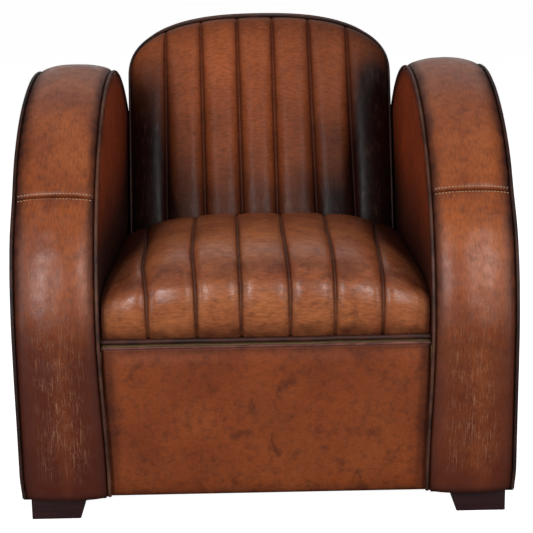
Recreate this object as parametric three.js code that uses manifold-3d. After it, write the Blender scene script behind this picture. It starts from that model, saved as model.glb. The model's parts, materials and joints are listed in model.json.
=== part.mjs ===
// A worn leather club chair with arched arms and a channel-stitched seat and back.
// Millimetres. +Z is up, the front faces -Y, and left means -X, as a person facing the chair sees it.
// The origin is on the floor, under the middle of the chair.
import * as THREE from "three";
import { mergeVertices } from "three/addons/utils/BufferGeometryUtils.js";
import Module from "manifold-3d";

// ---- Driving dimensions ----
const WIDTH = 854; // over the outer arm covers
const DEPTH = 880; // over the swell of the arm bands
const FOOT_HEIGHT = 45;
const ARM_WIDTH = 148;
const ARM_CROWN = 13; // the swell of an arm band past its welts
const ARCH_Z = 315; // height of the centre that the arm's arch turns about
const ARCH_STEPS = 26; // straight facets round the arch
const SEAM_STEP = 5; // facets from each end of the arch to an arm band's cross seam

const LEATHER = 3; // hide with its wadding
const WELT_RADIUS = 4;
const GAP = 0.3; // between pieces that touch
const PLY = 12; // arm boards
const PANEL_PLY = 18; // front board and lower rails
const FRAME_WOOD = 22; // back frame
const BENT_PLY = 4;
const ARM_FOAM = 14;
const HESSIAN = 1.5;
const DUST_CLOTH = 1;

const BACK_LEAN = THREE.MathUtils.degToRad(17.8);
const BACK_HALF_WIDTH = 275;
const BACK_ARCH = 130; // rise of the back's rounded top
const BACK_SQUARENESS = 2.45; // exponent of the superellipse that rounds the top
const BACK_BULGE = 28; // the padding's swell in front of the welt
const BACK_PADDING = 50; // the padding's depth behind the welt

const FRONT_SETBACK = 14; // of the front panel behind the arms' welts
const FRONT_TOP = 305; // top of the front board
const SPRING_COUNT = 4;
const SPRING_SPACING = 110;
const SPRING_WIRE = 1.9; // radius
const SPRING_SWING = 23; // half the width of a spring's zigzag
const SPRING_WAVES = 8;
const SPRING_CROWN = 12; // how far a spring arches up between its rails

// ---- Places worked out from them ----
const UNDERSIDE = FOOT_HEIGHT + DUST_CLOTH + GAP; // where the frame and the covers start
const OUTER_X = WIDTH / 2;
const INNER_X = OUTER_X - ARM_WIDTH;
const ARM_X = OUTER_X - ARM_WIDTH / 2; // an arm's own middle
const ARM_HALF = ARM_WIDTH / 2;
const ARCH_RADIUS = DEPTH / 2 - ARM_CROWN; // out to the welts
const LEG = ARCH_Z - UNDERSIDE; // the straight run below each end of the arch
const ARCH_LENGTH = Math.PI * ARCH_RADIUS;
const BAND_LENGTH = ARCH_LENGTH + 2 * LEG;
const SEAM_AT = LEG + (ARCH_LENGTH * SEAM_STEP) / ARCH_STEPS; // along a band from its front lower edge
const WELT_INSET = WELT_RADIUS * 2 + GAP; // what a cover gives up to the welt beside it
const COVER_RADIUS = ARCH_RADIUS - WELT_INSET;
const BOARD_OUT = ARM_HALF - LEATHER - GAP; // outer face of an arm board, from the arm's middle
const BOARD_IN = BOARD_OUT - PLY;
const FOAM_BASE = COVER_RADIUS - ARM_FOAM;
const STRIP_BASE = FOAM_BASE - GAP - BENT_PLY;
const BOARD_RADIUS = STRIP_BASE - GAP;
const RAIL_X = INNER_X + LEATHER; // rails reach through the covers to the inner boards
const FRONT_FACE = -ARCH_RADIUS + FRONT_SETBACK;
const FRONT_BOARD_FACE = FRONT_FACE + LEATHER + GAP;
const REAR_FACE = ARCH_RADIUS - FRONT_SETBACK; // outer back at the floor
const BACK_FOOT = { y: 170, z: 429 }; // where the back's welt plane meets the seat
const BACK_TOP = 421; // along the lean, from there to the top of the welt
const BACK_SIDE = BACK_TOP - BACK_ARCH; // where the straight sides turn into the arch
const BACK_BOTTOM = -100;
const BACK_TOP_Y = BACK_FOOT.y + BACK_TOP * Math.sin(BACK_LEAN);
const BACK_TOP_Z = BACK_FOOT.z + BACK_TOP * Math.cos(BACK_LEAN);
const OUTER_BACK_TOP_Y = BACK_TOP_Y + 90;
const OUTER_BACK_LEAN = Math.atan2(REAR_FACE - OUTER_BACK_TOP_Y, BACK_TOP_Z - UNDERSIDE);

// ---- Materials ----
const finish = (color, roughness, metalness = 0) =>
  new THREE.MeshStandardMaterial({ color, roughness, metalness });
const hide = finish("#7a3a1c", 0.38);
const darkHide = finish("#3a1d12", 0.42);
const plywood = finish("#c29a63", 0.75);
const hardwood = finish("#a9794a", 0.7);
const stainedWood = finish("#24120d", 0.35);
const foam = finish("#e4d8ae", 0.95);
const sackcloth = finish("#a88f62", 0.95);
const blackCloth = finish("#151515", 0.9);
const springSteel = finish("#5d6064", 0.35, 0.9);

// ---- Solids ----
const wasm = await Module();
wasm.setup();

// A closed geometry as a manifold-3d solid, and back.
function toSolid(geometry) {
  const bare = new THREE.BufferGeometry().setAttribute("position", geometry.getAttribute("position"));
  if (geometry.index) bare.setIndex(geometry.index);
  const merged = mergeVertices(bare, 1e-3);
  return new wasm.Manifold(
    new wasm.Mesh({
      numProp: 3,
      vertProperties: new Float32Array(merged.attributes.position.array),
      triVerts: new Uint32Array(merged.index.array),
    }),
  );
}

function toGeometry(solid) {
  const mesh = solid.getMesh();
  return new THREE.BufferGeometry()
    .setAttribute("position", new THREE.BufferAttribute(mesh.vertProperties, 3))
    .setIndex(new THREE.BufferAttribute(mesh.triVerts, 1));
}

const cut = (geometry, ...tools) =>
  toGeometry(tools.reduce((left, tool) => left.subtract(toSolid(tool)), toSolid(geometry)));

function shapeOf(points) {
  return new THREE.Shape(points.map(([a, b]) => new THREE.Vector2(a, b)));
}

// A (y, z) outline made solid between two values of x.
function acrossX(shape, from, to) {
  const yzx = new THREE.Matrix4().makeBasis(
    new THREE.Vector3(0, 1, 0),
    new THREE.Vector3(0, 0, 1),
    new THREE.Vector3(1, 0, 0),
  );
  const curveSegments = ARCH_STEPS / 2; // three.js doubles it for an arc
  return new THREE.ExtrudeGeometry(shape, { depth: to - from, bevelEnabled: false, curveSegments })
    .applyMatrix4(yzx)
    .translate(from, 0, 0);
}

// An (x, z) outline made solid between two values of y, with its edges rounded where asked.
function alongY(shape, from, to, round = 0) {
  const extrusion = new THREE.ExtrudeGeometry(shape, {
    depth: to - from - 2 * round,
    bevelEnabled: round > 0,
    bevelThickness: round,
    bevelSize: round,
    bevelOffset: -round,
    bevelSegments: 3,
  });
  return extrusion.rotateX(Math.PI / 2).translate(0, to - round, 0);
}

// A box between two corners.
function block([x0, y0, z0], [x1, y1, z1]) {
  const box = new THREE.BoxGeometry(x1 - x0, y1 - y0, z1 - z0);
  return box.translate((x0 + x1) / 2, (y0 + y1) / 2, (z0 + z1) / 2);
}

// ---- The group that is exported ----
const chair = new THREE.Group();

function add(name, geometry, material, parent = chair) {
  const mesh = new THREE.Mesh(geometry, material);
  mesh.name = name;
  parent.add(mesh);
  return mesh;
}

// ---- Arms ----
// Distances along a band, like a tape's: its ends and every corner of the faceted arch.
const STATIONS = Array.from({ length: ARCH_STEPS + 1 }, (_, i) => LEG + (ARCH_LENGTH * i) / ARCH_STEPS);

// The line of an arm's welts, from the front lower edge, up, over and down the back.
class ArmArch extends THREE.Curve {
  constructor(from, to) {
    super();
    this.stations = [from, ...STATIONS.filter((distance) => distance > from + 1 && distance < to - 1), to];
  }

  // The angle turned at a distance: 0 on the front leg, PI on the rear one.
  static angleAt(distance) {
    return THREE.MathUtils.clamp((distance - LEG) / ARCH_RADIUS, 0, Math.PI);
  }

  getSpacedPoints() {
    return this.stations.map((distance) => {
      const angle = ArmArch.angleAt(distance);
      const below = Math.max(LEG - distance, distance - LEG - ARCH_LENGTH, 0);
      const height = ARCH_Z + ARCH_RADIUS * Math.sin(angle) - below;
      return new THREE.Vector3(0, -ARCH_RADIUS * Math.cos(angle), height);
    });
  }

  // A section's x axis points out of the arch and its y axis along +X.
  computeFrenetFrames() {
    const angles = this.stations.map(ArmArch.angleAt);
    return {
      tangents: angles.map((angle) => new THREE.Vector3(0, Math.sin(angle), Math.cos(angle))),
      normals: angles.map((angle) => new THREE.Vector3(0, -Math.cos(angle), Math.sin(angle))),
      binormals: angles.map(() => new THREE.Vector3(1, 0, 0)),
    };
  }
}

function sweepArm(section, from = 0, to = BAND_LENGTH) {
  const extrudePath = new ArmArch(from, to);
  const steps = extrudePath.stations.length - 1;
  return new THREE.ExtrudeGeometry(section, { steps, extrudePath, curveSegments: 4 });
}

// The swollen section of a band or its foam: heights are measured out from the welt line.
function swellAt(x, half) {
  return ARM_CROWN * (1 - (x / half) ** 2);
}

function bandSection() {
  const half = ARM_HALF - WELT_INSET;
  const stations = [-1, -0.6, -0.2, 0.2, 0.6, 1].map((share) => share * half);
  const outside = stations.map((x) => [swellAt(x, half), x]);
  const inside = stations.map((x) => [swellAt(x, half) - LEATHER, x]).reverse();
  return shapeOf([...outside, ...inside]);
}

function foamSection() {
  const half = ARM_HALF - WELT_INSET;
  const base = FOAM_BASE - ARCH_RADIUS;
  const shoulder = COVER_RADIUS - ARCH_RADIUS;
  const stations = [1, 0.6, 0.2, -0.2, -0.6, -1].map((share) => share * half);
  const top = stations.map((x) => [swellAt(x, half) - LEATHER - GAP, x]);
  const right = [[shoulder, half], [shoulder, BOARD_OUT], [base, BOARD_OUT]];
  const left = right.map(([height, x]) => [height, -x]).reverse();
  return shapeOf([...left, ...top.reverse(), ...right]);
}

function stripSection() {
  const low = STRIP_BASE - ARCH_RADIUS;
  const high = low + BENT_PLY;
  return shapeOf([[low, -BOARD_OUT], [high, -BOARD_OUT], [high, BOARD_OUT], [low, BOARD_OUT]]);
}

function weltSection(side) {
  const section = new THREE.Shape();
  section.absarc(-WELT_RADIUS, side * (ARM_HALF - WELT_RADIUS), WELT_RADIUS, 0, 2 * Math.PI);
  return section;
}

// The arm's outline from the side: straight legs under a half circle.
function archOutline(radius) {
  const outline = new THREE.Shape();
  outline.moveTo(-radius, UNDERSIDE);
  outline.lineTo(-radius, ARCH_Z);
  outline.absarc(0, ARCH_Z, radius, Math.PI, 0, true);
  outline.lineTo(radius, UNDERSIDE);
  outline.closePath();
  return outline;
}

// A plate of the arm's outline between two distances from the arm's middle.
const armPlate = (radius, from, to) => acrossX(archOutline(radius), from, to);

// The inner cover stops short of the seat's frame, so that the rails meet the board behind it.
function innerCover(side) {
  const [from, to] = side < 0 ? [BOARD_OUT + GAP, ARM_HALF] : [-ARM_HALF, -BOARD_OUT - GAP];
  const frameOpening = block(
    [from - 1, FRONT_BOARD_FACE - GAP, UNDERSIDE - 1],
    [to + 1, REAR_FACE - LEATHER - 2 * GAP, FRONT_TOP + GAP],
  );
  return cut(armPlate(COVER_RADIUS, from, to), frameOpening);
}

const POST = { inset: 3, depth: 45, top: 350 };
const BASE_RAIL = 30;

function buildArm(label, side) {
  const arm = new THREE.Group();
  arm.position.x = side * ARM_X;
  chair.add(arm);
  const named = (piece) => `${label}_arm_${piece}`;

  // Seen from the arm's middle, the outside is towards side and the seat is the other way.
  const [outerFrom, outerTo] = side < 0 ? [-BOARD_OUT, -BOARD_IN] : [BOARD_IN, BOARD_OUT];
  add(named("outer_board"), armPlate(BOARD_RADIUS, outerFrom, outerTo), plywood, arm);
  add(named("inner_board"), armPlate(BOARD_RADIUS, -outerTo, -outerFrom), plywood, arm);
  const [coverFrom, coverTo] = side < 0 ? [-ARM_HALF, -BOARD_OUT - GAP] : [BOARD_OUT + GAP, ARM_HALF];
  add(named("outer_cover"), armPlate(COVER_RADIUS, coverFrom, coverTo), hide, arm);
  add(named("inner_cover"), innerCover(side), hide, arm);

  // Between the boards: a rail along the bottom, with a post on each end of it.
  const spacer = (y0, y1, z0, z1) => block([GAP - BOARD_IN, y0, z0], [BOARD_IN - GAP, y1, z1]);
  const end = BOARD_RADIUS - POST.inset;
  const railTop = UNDERSIDE + BASE_RAIL;
  add(named("base_rail"), spacer(-end, end, UNDERSIDE, railTop), hardwood, arm);
  add(named("front_post"), spacer(-end, -end + POST.depth, railTop + GAP, POST.top), hardwood, arm);
  add(named("rear_post"), spacer(end - POST.depth, end, railTop + GAP, POST.top), hardwood, arm);

  add(named("bent_strip"), sweepArm(stripSection()), plywood, arm);
  add(named("foam_wrap"), sweepArm(foamSection()), foam, arm);
  const rearSeam = BAND_LENGTH - SEAM_AT;
  add(named("front_band"), sweepArm(bandSection(), 0, SEAM_AT), hide, arm);
  add(named("top_band"), sweepArm(bandSection(), SEAM_AT + GAP, rearSeam - GAP), hide, arm);
  add(named("rear_band"), sweepArm(bandSection(), rearSeam, BAND_LENGTH), hide, arm);
  add(named("outer_welt"), sweepArm(weltSection(side)), darkHide, arm);
  add(named("inner_welt"), sweepArm(weltSection(-side)), darkHide, arm);
}

buildArm("left", -1);
buildArm("right", 1);

// ---- Feet and dust cover ----
const FOOT = { outer: OUTER_X - 14, topWidth: 96, bottomWidth: 85, depth: 90, setback: 25 };

function buildFoot(name, side, end) {
  const outline = shapeOf([
    [FOOT.outer, FOOT_HEIGHT - GAP],
    [FOOT.outer - FOOT.topWidth, FOOT_HEIGHT - GAP],
    [FOOT.outer - FOOT.bottomWidth, 0],
    [FOOT.outer, 0],
  ].map(([x, z]) => [side * x, z]));
  const far = ARCH_RADIUS - FOOT.setback;
  const [from, to] = end < 0 ? [-far, -far + FOOT.depth] : [far - FOOT.depth, far];
  add(name, alongY(outline, from, to), stainedWood);
}

buildFoot("front_left_foot", -1, -1);
buildFoot("front_right_foot", 1, -1);
buildFoot("rear_left_foot", -1, 1);
buildFoot("rear_right_foot", 1, 1);

function buildDustCover() {
  const armEnd = ARCH_RADIUS - 6;
  const armSide = OUTER_X - LEATHER - 1;
  const seatEnd = -FRONT_BOARD_FACE;
  const corners = [
    [INNER_X + 1, seatEnd], [INNER_X + 1, armEnd], [armSide, armEnd],
    [armSide, -armEnd], [INNER_X + 1, -armEnd], [INNER_X + 1, -seatEnd],
  ];
  const mirrored = corners.map(([x, y]) => [-x, y]).reverse();
  const outline = shapeOf([...corners, ...mirrored]);
  const sheet = new THREE.ExtrudeGeometry(outline, { depth: DUST_CLOTH, bevelEnabled: false });
  add("dust_cover", sheet.translate(0, 0, FOOT_HEIGHT), blackCloth);
}

buildDustCover();

// ---- Front panel ----
// A straight welt from arm to arm.
function crossWelt(y, z) {
  const length = 2 * (INNER_X - 0.5);
  const cord = new THREE.CylinderGeometry(WELT_RADIUS, WELT_RADIUS, length, 10);
  return cord.rotateZ(Math.PI / 2).translate(0, y, z);
}

// A board or cover across the chair, from the underside up.
const acrossChair = (half, y, thickness, top) => block([-half, y, UNDERSIDE], [half, y + thickness, top]);

add("front_board", acrossChair(RAIL_X, FRONT_BOARD_FACE, PANEL_PLY, FRONT_TOP), plywood);
add("front_panel_cover", acrossChair(INNER_X - GAP, FRONT_FACE, LEATHER, FRONT_TOP + 1), hide);
const PANEL_WELT_Z = FRONT_TOP + 1 + GAP + WELT_RADIUS;
add("front_panel_welt", crossWelt(FRONT_FACE + 1.5, PANEL_WELT_Z), darkHide);

// ---- Back frame, in a group that leans with the back: x across, z up the lean, y backwards ----
const back = new THREE.Group();
back.position.set(0, BACK_FOOT.y, BACK_FOOT.z);
back.rotation.x = -BACK_LEAN;
chair.add(back);

// The back's outline seen square on: straight sides under a superellipse, drawn in by inset all round.
function backOutline(inset, bottom, lean = 1, segments = 22) {
  const half = BACK_HALF_WIDTH - inset;
  const rise = (BACK_ARCH - inset) * lean;
  const power = 2 / BACK_SQUARENESS;
  const points = [[half, bottom]];
  for (let i = 0; i <= segments; i++) {
    const angle = (Math.PI * i) / segments;
    const across = Math.sign(Math.cos(angle)) * Math.abs(Math.cos(angle)) ** power;
    points.push([half * across, BACK_SIDE * lean + rise * Math.sin(angle) ** power]);
  }
  points.push([-half, bottom]);
  return points;
}

const HESSIAN_Y = BACK_PADDING;
const FRAME_Y = HESSIAN_Y + HESSIAN + GAP;
const FRAME_END_Y = FRAME_Y + FRAME_WOOD;
const STILE = { outer: 265, width: 60, bottom: -180, top: 250 };
const STILE_INNER = STILE.outer - STILE.width;
const REAR_RAIL = { bottom: -200, top: -120, thickness: 25 };
const CREST_INSET = 12;
const CREST_DEPTH = 60;

// A timber of the back's frame, between two distances up the lean.
function backTimber(x0, x1, bottom, top, y = FRAME_Y, thickness = FRAME_WOOD) {
  return block([x0, y, bottom], [x1, y + thickness, top]);
}

function crestRail() {
  const foot = STILE.top + GAP;
  const outer = backOutline(CREST_INSET, foot);
  const inner = backOutline(CREST_INSET + CREST_DEPTH, foot).reverse();
  return alongY(shapeOf([...outer, ...inner]), FRAME_Y, FRAME_END_Y);
}

add("back_left_stile", backTimber(-STILE.outer, -STILE_INNER, STILE.bottom, STILE.top), hardwood, back);
add("back_right_stile", backTimber(STILE_INNER, STILE.outer, STILE.bottom, STILE.top), hardwood, back);
add("back_crest_rail", crestRail(), hardwood, back);
add("back_lower_rail", backTimber(-STILE_INNER + GAP, STILE_INNER - GAP, -70, -20), hardwood, back);
const { bottom: railBottom, top: railTop, thickness: railThickness } = REAR_RAIL;
const rearRail = backTimber(-RAIL_X, RAIL_X, railBottom, railTop, FRAME_END_Y + GAP, railThickness);
add("seat_rear_rail", rearRail, hardwood, back);
const hessianOutline = shapeOf(backOutline(CREST_INSET, BACK_BOTTOM));
add("back_hessian", alongY(hessianOutline, HESSIAN_Y, HESSIAN_Y + HESSIAN), sackcloth, back);

// ---- Back padding and covers ----
const PAD_ROUND = 22;
const COVER_INSET = WELT_INSET + 1.2; // the welt cuts its rounded corners a little

// The back's pillow: rounded all round, from a swell in front of the welts to a depth behind them.
function backPillow(inset, front, rear, bottom) {
  return alongY(shapeOf(backOutline(inset, bottom)), front, rear, PAD_ROUND);
}

const FOAM_INSET = COVER_INSET + LEATHER + GAP;
const FOAM_FRONT = -BACK_BULGE + LEATHER + GAP;
add("back_foam", backPillow(FOAM_INSET, FOAM_FRONT, HESSIAN_Y - GAP, BACK_BOTTOM), foam, back);

function backCover() {
  const outside = backPillow(COVER_INSET, -BACK_BULGE, BACK_PADDING, BACK_BOTTOM - LEATHER);
  const hollow = backPillow(COVER_INSET + LEATHER, -BACK_BULGE + LEATHER, BACK_PADDING + 40, BACK_BOTTOM);
  const behindWelt = block([-400, 0, -400], [400, 200, 600]);
  return cut(outside, hollow, behindWelt);
}
add("back_cover", backCover(), hide, back);

// A path through the corners of an outline drawn at y = 0, as a three.js curve.
class OutlinePath extends THREE.Curve {
  constructor(outline) {
    super();
    this.corners = outline.map(([x, z]) => new THREE.Vector3(x, 0, z));
  }

  getSpacedPoints() {
    return this.corners;
  }

  // Sections stand square to the bisected corners, with their y axis along +Y.
  computeFrenetFrames() {
    const last = this.corners.length - 1;
    const tangents = this.corners.map((_, i) =>
      this.corners[Math.min(i + 1, last)].clone().sub(this.corners[Math.max(i - 1, 0)]).normalize());
    return {
      tangents,
      normals: tangents.map(({ x, z }) => new THREE.Vector3(z, 0, -x)),
      binormals: tangents.map(() => new THREE.Vector3(0, 1, 0)),
    };
  }
}

function backWelt() {
  const section = new THREE.Shape().absarc(0, 0, WELT_RADIUS, 0, 2 * Math.PI);
  const extrudePath = new OutlinePath(backOutline(WELT_RADIUS, BACK_BOTTOM));
  const steps = extrudePath.corners.length - 1;
  return new THREE.ExtrudeGeometry(section, { steps, extrudePath, curveSegments: 4 });
}
add("back_welt", backWelt(), darkHide, back);

// The boxing joins the welt plane to the outer back. Its outline runs level from front to back.
const LEVEL = Math.cos(BACK_LEAN); // turns heights up the lean into plumb ones
const BOXING_FOOT = 380;
function boxing() {
  const outline = (inset, bottom) => shapeOf(backOutline(inset, bottom, LEVEL));
  const hoop = alongY(outline(0, BOXING_FOOT - BACK_FOOT.z), -200, 400);
  const hollow = alongY(outline(LEATHER, BOXING_FOOT - BACK_FOOT.z - 10), -210, 410);
  const beforeWelt = block([-400, -500, -600], [400, WELT_RADIUS + GAP, 800]).rotateX(-BACK_LEAN);
  const top = BACK_TOP_Z - BACK_FOOT.z;
  const behind = block([-400, 0, -600], [400, 400, 200])
    .rotateX(OUTER_BACK_LEAN)
    .translate(0, OUTER_BACK_TOP_Y - BACK_FOOT.y - LEATHER - GAP, top);
  return cut(hoop, hollow, beforeWelt, behind).translate(0, BACK_FOOT.y, BACK_FOOT.z);
}
add("back_boxing", boxing(), hide);

function outerBack() {
  const top = BACK_TOP_Z;
  const outline = backOutline(0, UNDERSIDE - BACK_FOOT.z + 0.5, LEVEL);
  const hung = outline.map(([x, z]) => [x, z + BACK_FOOT.z - top]); // from the top edge down
  return alongY(shapeOf(hung), -LEATHER, 0).rotateX(OUTER_BACK_LEAN).translate(0, OUTER_BACK_TOP_Y, top);
}
add("outer_back_cover", outerBack(), hide);
const LOWER_RAIL_Y = REAR_FACE - LEATHER - 4 - PANEL_PLY;
add("rear_lower_rail", acrossChair(RAIL_X, LOWER_RAIL_Y, PANEL_PLY, UNDERSIDE + 80), plywood);

// ---- Seat springs and platform ----
const SPRING_FRONT = { y: -400, z: FRONT_TOP + GAP + SPRING_WIRE };
const SPRING_REAR = { y: 205, z: 298.6 };

// Height of a spring's wire at a share of the way from the front rail to the rear one.
const springHeight = (t) =>
  THREE.MathUtils.lerp(SPRING_FRONT.z, SPRING_REAR.z, t) + SPRING_CROWN * Math.sin(Math.PI * t);

// A sinuous spring: a wire that swings from side to side, its loops fuller than a sine wave's.
class SinuousSpring extends THREE.Curve {
  constructor(x) {
    super();
    this.x = x;
  }

  getPoint(t, target = new THREE.Vector3()) {
    const phase = 2 * Math.PI * SPRING_WAVES * t;
    const length = SPRING_REAR.y - SPRING_FRONT.y;
    const fullness = (0.09 * length) / SPRING_WAVES;
    const y = SPRING_FRONT.y + length * t - fullness * Math.sin(2 * phase);
    return target.set(this.x + SPRING_SWING * Math.sin(phase), y, springHeight(t));
  }
}

function seatSpring(x) {
  const wire = new THREE.Shape(Array.from({ length: 5 }, (_, k) => {
    const angle = (2 * Math.PI * k) / 5;
    return new THREE.Vector2(SPRING_WIRE * Math.cos(angle), SPRING_WIRE * Math.sin(angle));
  }));
  return new THREE.ExtrudeGeometry(wire, { steps: 9 * SPRING_WAVES, extrudePath: new SinuousSpring(x) });
}

for (let i = 0; i < SPRING_COUNT; i++) {
  add(`seat_spring_${i + 1}`, seatSpring((i - (SPRING_COUNT - 1) / 2) * SPRING_SPACING), springSteel);
}

// Points (y, z) on the top of the platform cloth, which lies on the springs.
function platformTop(from, to, above = 0, count = 12) {
  return Array.from({ length: count + 1 }, (_, i) => {
    const y = THREE.MathUtils.lerp(from, to, i / count);
    const t = (y - SPRING_FRONT.y) / (SPRING_REAR.y - SPRING_FRONT.y);
    return [y, springHeight(t) + SPRING_WIRE + 2 * GAP + HESSIAN + above];
  });
}

const PLATFORM = { front: -404, rear: 200 };
function platformCloth() {
  const top = platformTop(PLATFORM.front, PLATFORM.rear);
  const under = platformTop(PLATFORM.front, PLATFORM.rear, -HESSIAN).reverse();
  const sheet = acrossX(shapeOf([...under.reverse(), ...top.reverse()]), -INNER_X + 1, INNER_X - 1);
  const notch = (x0, x1) => block([x0, 168, 200], [x1, 260, 400]);
  return cut(sheet, notch(STILE_INNER - 2, 400), notch(-400, -STILE_INNER + 2));
}
add("seat_platform", platformCloth(), sackcloth);

// ---- Seat padding and cover ----
// The seat's profile, (y, z), from its lower front edge over the crest to the foot of the back.
const seatProfile = new THREE.SplineCurve([
  [-404, 327], [-418, 352], [-421, 390], [-411, 426], [-381, 455], [-325, 470],
  [-240, 474], [-120, 467], [10, 452], [140.5, 433],
].map(([y, z]) => new THREE.Vector2(y, z)));
const SEAT_REAR_FOOT = [108, 332];

// The profile's points moved towards the padding by a distance.
function seatSurface(inward, count = 26) {
  return Array.from({ length: count + 1 }, (_, i) => {
    const point = seatProfile.getPoint(i / count);
    const along = seatProfile.getTangent(i / count);
    return [point.x + along.y * inward, point.y - along.x * inward];
  });
}

function seatCover() {
  const half = INNER_X - 2 * GAP;
  const outside = acrossX(shapeOf([...seatSurface(0), SEAT_REAR_FOOT].reverse()), -half, half);
  const surface = seatSurface(LEATHER);
  const under = [[SEAT_REAR_FOOT[0] - LEATHER, 280], [surface[0][0], 280]];
  const hollow = acrossX(shapeOf([...surface, ...under].reverse()), -half + LEATHER, half - LEATHER);
  return cut(outside, hollow);
}
add("seat_cover", seatCover(), hide);

function seatFoam() {
  const half = INNER_X - 2 * GAP - LEATHER - GAP;
  const surface = seatSurface(LEATHER + GAP);
  const front = surface[0][0];
  const rear = SEAT_REAR_FOOT[0] - LEATHER - 4;
  surface[surface.length - 1][0] -= GAP;
  return acrossX(shapeOf([...platformTop(front, rear, GAP), ...surface.reverse()]), -half, half);
}
add("seat_foam", seatFoam(), foam);
add("seat_welt", crossWelt(-407, PANEL_WELT_Z + 2 * WELT_RADIUS + 2), darkHide);

// ---- Corner blocks ----
// A glued block between two heights: its square corner is at (x, y), and its legs run along +Y
// and the way that towardX points.
function cornerBlock(x, y, towardX, from, to) {
  const leg = 60;
  const corner = [[x, y], [x + towardX * leg, y], [x, y + leg]];
  if (towardX < 0) corner.reverse();
  const extrusion = new THREE.ExtrudeGeometry(shapeOf(corner), { depth: to - from, bevelEnabled: false });
  return extrusion.translate(0, 0, from);
}

const FRONT_BLOCK_Y = FRONT_BOARD_FACE + PANEL_PLY + GAP;
const REAR_BLOCK_Y = FRAME_END_Y + REAR_RAIL.thickness + 2 * GAP;
for (const [label, side] of [["left", -1], ["right", 1]]) {
  const x = side * (RAIL_X - GAP);
  add(`front_${label}_corner_block`, cornerBlock(x, FRONT_BLOCK_Y, -side, 235, 295), hardwood);
  const rear = cornerBlock(x, REAR_BLOCK_Y, -side, REAR_RAIL.bottom, REAR_RAIL.top);
  add(`rear_${label}_corner_block`, rear, hardwood, back);
}

export default chair;
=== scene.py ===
# %% [markdown]
# # A worn leather club chair
#
# A club chair is a wooden frame under springs, foam and hide. What shows is almost only hide: arched arms
# with a band of leather sewn over them, a seat and a back stitched into channels, and cord piping where two
# covers meet. The lesson builds each cover over the solid frame that the physics model already has, then
# gives it the look of a hide that has been rubbed, creased and darkened for years.

# %% Load the frame that every cover is fitted to
import json
from math import copysign, cos, dist, exp, hypot, pi, radians, sin, sqrt

import bmesh
import bpy
import numpy as np
from mathutils import Matrix, Vector, noise


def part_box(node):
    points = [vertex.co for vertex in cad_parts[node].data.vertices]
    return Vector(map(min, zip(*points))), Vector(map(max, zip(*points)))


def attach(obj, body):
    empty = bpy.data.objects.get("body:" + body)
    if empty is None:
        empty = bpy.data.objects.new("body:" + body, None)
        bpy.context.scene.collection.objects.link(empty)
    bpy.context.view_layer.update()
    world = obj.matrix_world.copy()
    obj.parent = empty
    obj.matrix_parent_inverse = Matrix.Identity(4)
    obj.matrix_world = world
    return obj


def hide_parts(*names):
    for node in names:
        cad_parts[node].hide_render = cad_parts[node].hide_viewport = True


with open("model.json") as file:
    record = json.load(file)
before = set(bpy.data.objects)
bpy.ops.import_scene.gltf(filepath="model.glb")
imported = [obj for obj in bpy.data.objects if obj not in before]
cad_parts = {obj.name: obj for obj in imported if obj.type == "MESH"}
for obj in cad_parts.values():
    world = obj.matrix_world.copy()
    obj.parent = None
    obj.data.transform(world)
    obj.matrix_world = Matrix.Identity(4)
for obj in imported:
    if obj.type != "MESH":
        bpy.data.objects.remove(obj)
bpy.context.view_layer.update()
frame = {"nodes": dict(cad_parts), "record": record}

# %% [markdown]
# ## The camera
#
# A product shot of a chair is taken from standing height and a few paces back, with a long lens, so that the
# two arms look alike. Here the camera stands 2.6 m in front of the chair's middle, a little under a metre up,
# and looks down 13 degrees. It is turned and rolled by less than a degree, as a hand-set tripod is.

# %% Camera
def put(name, data):
    """An object in the scene that holds the data."""
    made = bpy.data.objects.new(name, data)
    bpy.context.collection.objects.link(made)
    return made


camera_data = bpy.data.cameras.new("studio_camera")
camera_data.lens = 92.17
camera_data.sensor_width = 36
camera = put("studio_camera", camera_data)
turned = Matrix.Rotation(radians(-0.455), 3, "Z")
tilted = Matrix.Rotation(radians(90 - 13), 3, "X")
rolled = Matrix.Rotation(radians(-0.98), 3, "Z")
camera.matrix_world = Matrix.Translation((-0.0146, -2.6278, 0.9592)) @ (turned @ tilted @ rolled).to_4x4()
bpy.context.scene.camera = camera
print("camera", camera_data.lens, "mm")

# %% [markdown]
# ## Light and floor
#
# Leather is judged by its highlights, so the lights are large and soft. Two panels in front, one on
# each side of the camera, make the broad highlights on the arms and the thin ones on the flanks of the
# channels. A narrow one at each side picks out the edges. Two long panels behind the chair, one above the
# other, skim the tops of the arms and of the seat, and leave the inside of the chair dark. The one overhead
# draws the soft shadow on the floor. The floor sends neither light nor a mirror image up into the hide.

# %% Lights, world and floor
def panel(name, place, aim, width, height, watts):
    """A soft rectangular light at a place, turned to face a point."""
    data = bpy.data.lights.new(name, "AREA")
    data.shape = "RECTANGLE"
    data.size, data.size_y = width, height
    data.energy = watts
    light = put(name, data)
    light.location = place
    light.rotation_euler = (Vector(aim) - Vector(place)).to_track_quat("-Z", "Y").to_euler()
    light.visible_camera = False


SEAT_MIDDLE = (0, -0.1, 0.45)
panel("front_left_panel", (-1.3, -3.2, 1.36), SEAT_MIDDLE, 0.8, 1.4, 38)
panel("front_right_panel", (1.3, -3.2, 1.46), SEAT_MIDDLE, 0.8, 1.4, 32)
panel("left_strip", (-2.5, -1.9, 0.85), SEAT_MIDDLE, 0.4, 1.5, 13)
panel("right_strip", (2.5, -1.9, 0.85), SEAT_MIDDLE, 0.4, 1.5, 13)
panel("rear_panel", (0.0, 2.3, 3.2), (0, -0.3, 0.5), 4.5, 2.2, 17)
panel("low_rear_panel", (0.0, 3.4, 1.5), (0, -0.3, 0.6), 4.5, 1.0, 9)
panel("top_panel", (0.0, -0.5, 4.0), (0, 0.0, 0), 5.0, 4.0, 23)

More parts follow.
